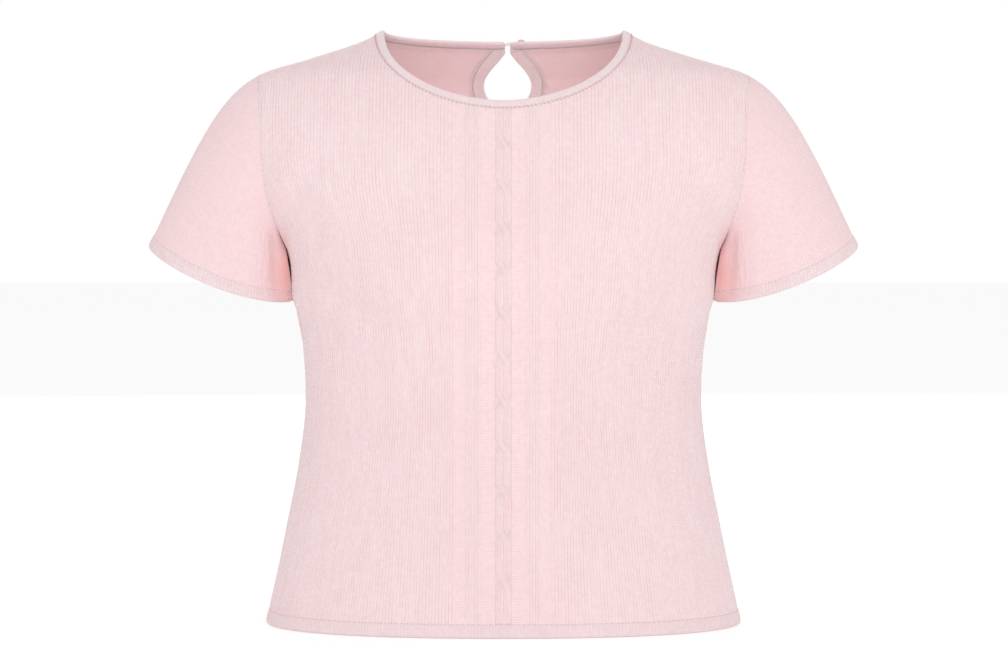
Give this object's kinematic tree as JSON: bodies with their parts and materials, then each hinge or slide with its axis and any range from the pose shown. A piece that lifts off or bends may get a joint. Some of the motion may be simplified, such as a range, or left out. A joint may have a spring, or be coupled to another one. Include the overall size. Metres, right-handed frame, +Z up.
{
  "type": "cable knit sweater",
  "caption": "Short-sleeved, cropped knit top with a cable down the front, a round neck and a keyhole at the back, filled out as worn.",
  "frame": {"origin": "mid-way between the two high shoulder points, where the wearer's shoulders carry the garment", "axes": "+Z up, +Y towards the back of the garment, +X to the right as seen from the front"},
  "size_m": [0.6598, 0.2603, 0.5506],
  "materials": {
    "knit": "fine cotton knit, matt with a little fuzz",
    "welt": "turned knit edge, two layers",
    "binding": "narrow ribbed knit strip",
    "button": "small dyed button with a soft shine",
    "thread": "twisted thread"
  },
  "bodies": {
    "root": {"front_panel": "knit", "back_panel": "knit", "sleeve_left": "knit", "sleeve_right": "knit", "hem_front": "welt", "hem_back": "welt", "cuff_left": "welt", "cuff_right": "welt", "neckband": "welt", "keyhole_binding": "binding", "button": "button", "button_loop": "thread"}
  },
  "joints": []
}
